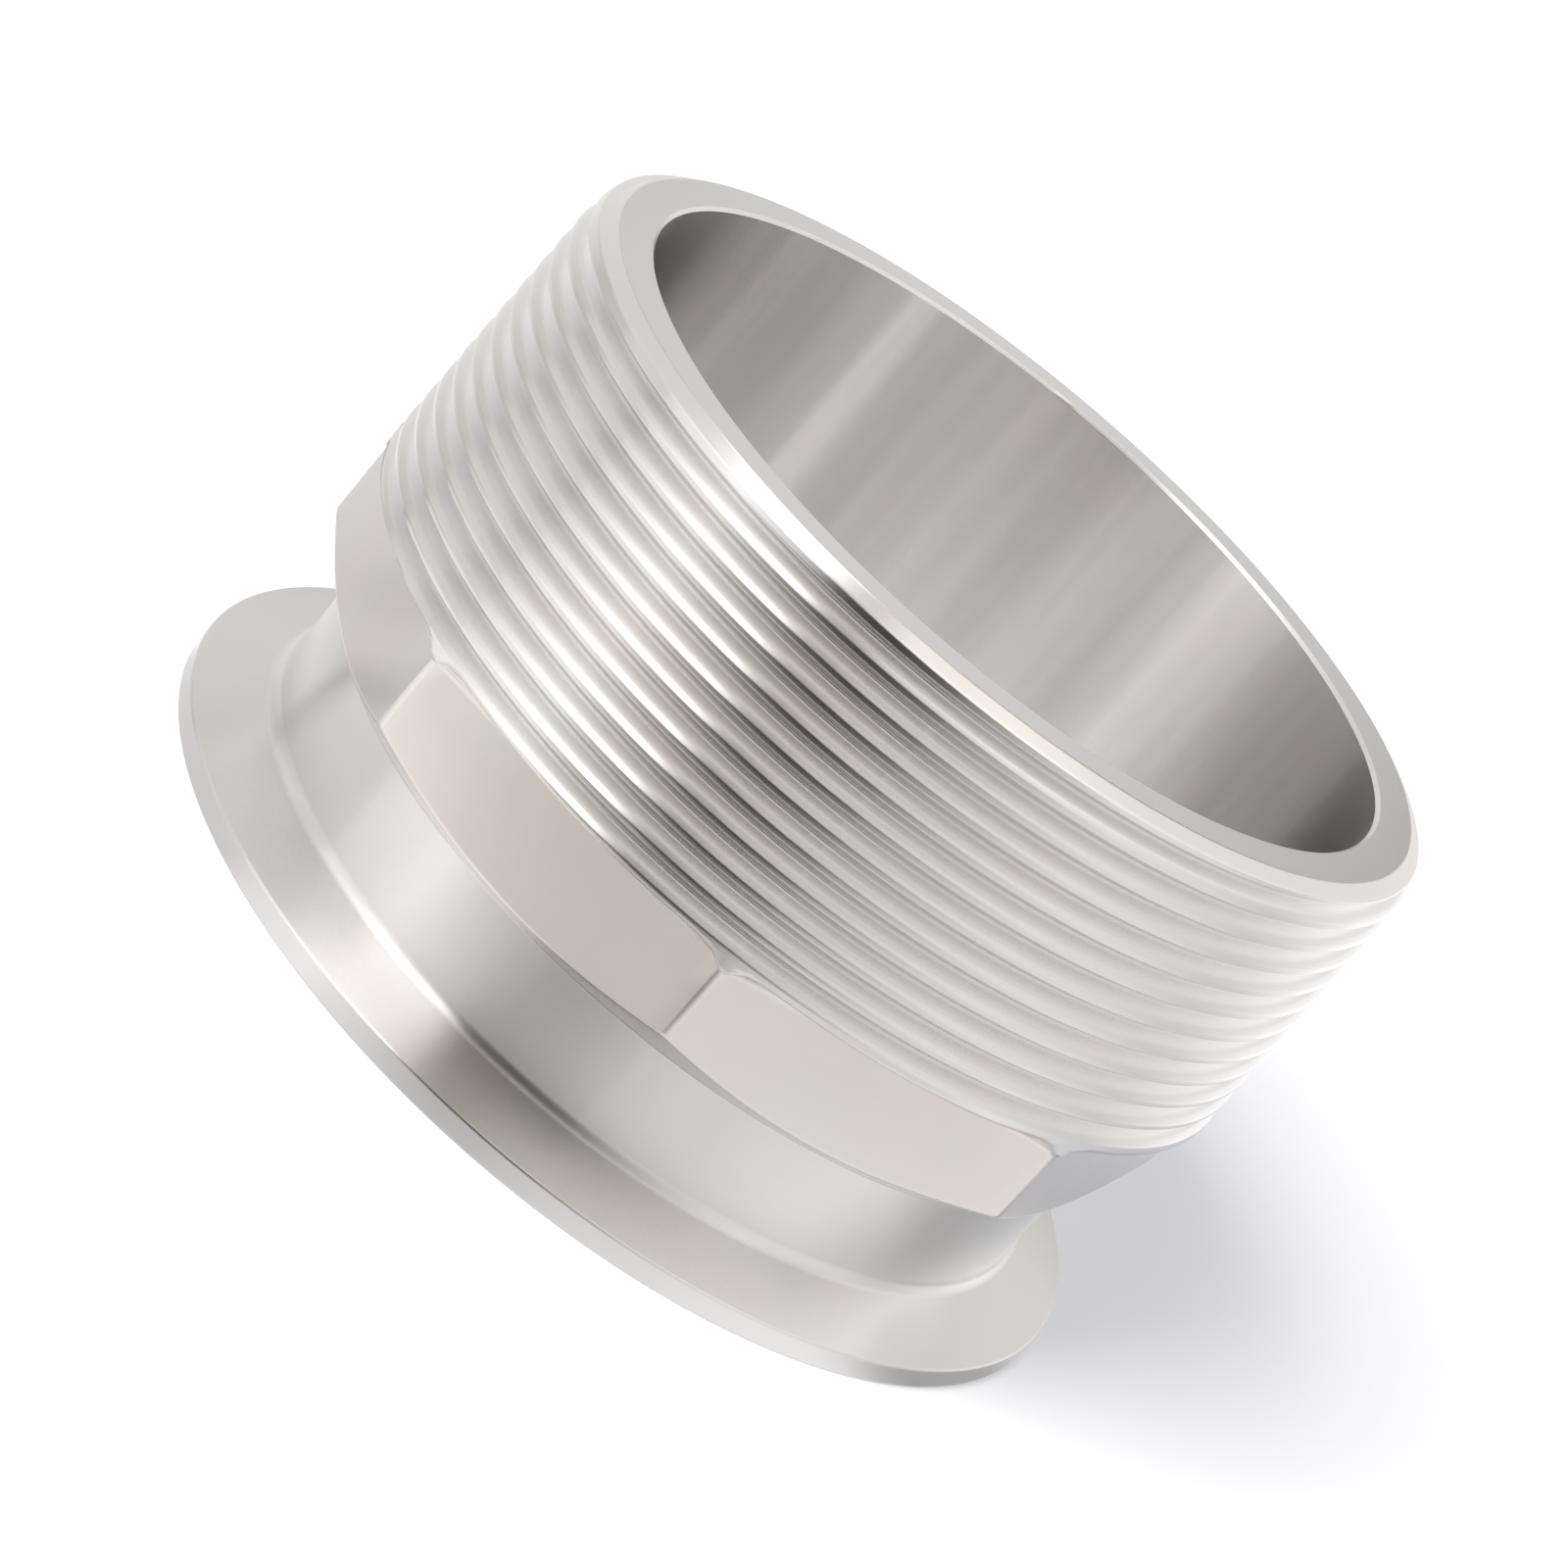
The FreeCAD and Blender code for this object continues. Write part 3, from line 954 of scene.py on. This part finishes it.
def angle_step(nodes, links, tilt, start, stop):
    """Straight step from 0 to 1 as the tilt goes from start to stop."""
    return add_ramp(nodes, links, tilt, [(start / 90.0, 0.0), (stop / 90.0, 1.0)])


def background(nodes, links, colour, strength):
    """Shader of the world with one colour and strength."""
    node = nodes.new("ShaderNodeBackground")
    feed(links, node.inputs["Color"], colour)
    node.inputs["Strength"].default_value = strength
    return node.outputs[0]


def mix_shaders(nodes, links, factor, first, second):
    """Mix of two shaders."""
    node = nodes.new("ShaderNodeMixShader")
    for socket, value in zip(node.inputs, (factor, first, second)):
        links.new(value, socket)
    return node.outputs[0]


def over_patch(nodes, links, radius):
    """0 inside the dark patch's reach and 1 outside it."""
    first, inner, outer, last = PATCH_REACH
    before = smooth_range(nodes, links, radius, inner, first)
    after = smooth_range(nodes, links, radius, outer, last)
    return math_node(nodes, links, "MAXIMUM", before, after)


def add_studio():
    """White backdrop, and the panels of the studio that the metal mirrors."""
    world = bpy.data.worlds.new("studio")
    bpy.context.scene.world = world
    world.use_nodes = True
    nodes = world.node_tree.nodes
    links = world.node_tree.links
    nodes.clear()
    shift = nodes.new("ShaderNodeVectorMath")
    shift.operation = "ADD"
    shift.inputs[1].default_value = PANEL_CENTRE
    links.new(nodes.new("ShaderNodeTexCoord").outputs["Generated"], shift.inputs[0])
    x, y, z = split(nodes, links, shift.outputs[0])
    turns = azimuth_turns(nodes, links, x, y)
    low, side, high, overhead = (
        azimuth_ramp(nodes, links, turns, panels, PANEL_PEAK, DARK_WARMTH)
        for panels in (LOW_PANELS, SIDE_PANELS, HIGH_PANELS, OVERHEAD_PANELS)
    )
    flat = length(nodes, links, combine(nodes, links, x, y, 0.0))
    tilt = math_node(nodes, links, "ARCTAN2", z, flat)
    tilt = math_node(nodes, links, "DIVIDE", tilt, math.pi / 2)
    raised = angle_step(nodes, links, tilt, LOW_UP_TO, SIDE_FROM)
    topmost = angle_step(nodes, links, tilt, SIDE_UP_TO, HIGH_FROM)
    over = [(t / 90.0, on) for t, on in zip(OVERHEAD_TILTS, (0.0, 1.0, 1.0, 0.0))]
    over = add_ramp(nodes, links, tilt, over)
    fade = angle_step(nodes, links, tilt, FADE_FROM, FADE_TO)
    panels = mix_colours(nodes, links, raised, low, side)
    panels = mix_colours(nodes, links, topmost, panels, high)
    panels = mix_colours(nodes, links, over, panels, overhead)
    panels = mix_colours(nodes, links, fade, panels, [BACK_PANEL / PANEL_PEAK] * 3)

    mirrored = background(nodes, links, panels, PANEL_PEAK)
    plain = background(nodes, links, ROOM_COLOUR, ROOM_LEVEL)
    white = background(nodes, links, (1.0, 1.0, 1.0), 1.0)
    path = nodes.new("ShaderNodeLightPath").outputs
    lit = mix_shaders(nodes, links, path["Is Glossy Ray"], plain, mirrored)
    seen = mix_shaders(nodes, links, path["Is Camera Ray"], lit, white)
    links.new(seen, nodes.new("ShaderNodeOutputWorld").inputs["Surface"])


def painted_table_reflections(nodes, links, place, radius, past_first, past_second):
    """Painted reflections: colour the table glows with for glossy rays, by azimuth, radius and
    bounce.
    """
    x, y, _ = split(nodes, links, place)
    turns = azimuth_turns(nodes, links, x, y)
    rim, neck, outer, flank, deep, patch = (
        azimuth_ramp(nodes, links, turns, levels, TABLE_PEAK)
        for levels in (RIM_TABLE, NECK_TABLE, FAR_TABLE, FLANK_TABLE, DEEP_TABLE, PATCH_TABLE)
    )
    past_rim = smooth_range(nodes, links, radius, *RIM_REACH)
    past_neck = smooth_range(nodes, links, radius, *NECK_REACH)
    tone = mix_colours(nodes, links, past_rim, rim, neck)
    tone = mix_colours(nodes, links, past_neck, tone, outer)
    ring = smooth_range(nodes, links, radius, *RING_REACH)
    lift = math_node(nodes, links, "MULTIPLY_ADD", ring, RING_LIFT, 1.0)
    tone = scaled(nodes, links, tone, lift)
    off_patch = over_patch(nodes, links, radius)
    patch = mix_colours(nodes, links, off_patch, patch, [1.0 / TABLE_PEAK] * 3)
    patch = scaled(nodes, links, patch, TABLE_PEAK)
    tone = mix_colours(nodes, links, 1.0, tone, patch, "MULTIPLY")
    tone = mix_colours(nodes, links, past_first, tone, flank)
    tone = mix_colours(nodes, links, past_second, tone, deep)
    inner = math_node(nodes, links, "LESS_THAN", radius, INNER_RADIUS)
    return mix_colours(nodes, links, inner, tone, [level / TABLE_PEAK for level in INNER_COLOUR])


def floor_material():
    """Pale table for the camera and the lamp; for glossy rays it glows with the tables of levels,
    painted reflections.
    """
    material = bpy.data.materials.new("pale_floor")
    material.use_nodes = True
    nodes = material.node_tree.nodes
    links = material.node_tree.links
    shader = nodes["Principled BSDF"]
    shader.inputs["Base Color"].default_value = (*FLOOR_COLOUR, 1.0)
    shader.inputs["Roughness"].default_value = 0.9
    shader.inputs["Specular IOR Level"].default_value = 0.0
    shader.inputs["Emission Color"].default_value = (1.0, 1.0, 1.0, 1.0)
    path = nodes.new("ShaderNodeLightPath").outputs
    place = nodes.new("ShaderNodeTexCoord").outputs["Object"]
    radius = length(nodes, links, place)
    lift = smooth_range(nodes, links, radius, *BACKDROP_REACH, SHADOW_LIFT, BACKDROP_LIFT)
    for_camera = math_node(nodes, links, "MULTIPLY", path["Is Camera Ray"], lift)
    links.new(for_camera, shader.inputs["Emission Strength"])

    past_first = math_node(nodes, links, "GREATER_THAN", path["Glossy Depth"], 1.5)
    past_second = math_node(nodes, links, "GREATER_THAN", path["Glossy Depth"], 2.5)
    # For glossy rays the table glows with painted levels: painted reflections on the metal. Past
    # its edge, first bounces see the world.
    mirrored = nodes.new("ShaderNodeEmission")
    mirrored.inputs["Strength"].default_value = TABLE_PEAK
    tone = painted_table_reflections(nodes, links, place, radius, past_first, past_second)
    links.new(tone, mirrored.inputs["Color"])
    through = nodes.new("ShaderNodeBsdfTransparent")
    table_end = (TABLE_RADIUS - TABLE_EDGE, TABLE_RADIUS + TABLE_EDGE)
    edge = smooth_range(nodes, links, radius, *table_end)
    first_only = math_node(nodes, links, "SUBTRACT", 1.0, past_first)
    past_table = math_node(nodes, links, "MULTIPLY", first_only, edge)
    glossy = mix_shaders(nodes, links, past_table, mirrored.outputs[0], through.outputs[0])
    surface = mix_shaders(nodes, links, path["Is Glossy Ray"], shader.outputs[0], glossy)
    links.new(surface, nodes["Material Output"].inputs["Surface"])
    return material


def add_floor():
    """Pale table, lifted to white for the camera with the shadow kept."""
    mesh = bpy.data.meshes.new("floor")
    half = FLOOR_HALF
    corners = [(-half, -half, 0), (half, -half, 0), (half, half, 0), (-half, half, 0)]
    mesh.from_pydata(corners, [], [(0, 1, 2, 3)])
    mesh.materials.append(floor_material())
    floor = bpy.data.objects.new("floor", mesh)
    bpy.context.scene.collection.objects.link(floor)


def add_area(name, azimuth, elevation, distance, size, power):
    """Soft lamp that faces the part, hidden from the metal's reflections."""
    data = bpy.data.lights.new(name, "AREA")
    data.shape = "RECTANGLE"
    data.size, data.size_y = size
    data.energy = power
    lamp = bpy.data.objects.new(name, data)
    a, e = math.radians(azimuth), math.radians(elevation)
    away = Vector((math.cos(e) * math.cos(a), math.cos(e) * math.sin(a), math.sin(e)))
    lamp.location = away * distance
    lamp.rotation_euler = away.to_track_quat("Z", "Y").to_euler()
    lamp.visible_glossy = False
    bpy.context.scene.collection.objects.link(lamp)


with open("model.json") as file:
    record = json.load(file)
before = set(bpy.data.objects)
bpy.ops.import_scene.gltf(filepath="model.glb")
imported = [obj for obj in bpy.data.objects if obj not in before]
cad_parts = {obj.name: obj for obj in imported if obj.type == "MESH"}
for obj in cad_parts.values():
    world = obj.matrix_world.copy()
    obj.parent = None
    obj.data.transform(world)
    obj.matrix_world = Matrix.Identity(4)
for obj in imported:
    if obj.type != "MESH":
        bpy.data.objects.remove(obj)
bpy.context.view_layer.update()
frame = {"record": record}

_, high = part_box(NODE)
bore = next(m for m in frame["record"]["mounts"] if m["name"] == "bore")
adapter = build_piece("adapter", *adapter_mesh(bore["dims"]["r_mm"], high[2] / MM))
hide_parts(NODE)
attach(adapter, "root")

add_camera()
add_floor()
add_studio()
add_area(*KEY_LAMP)
bpy.context.scene.view_settings.view_transform = "Standard"
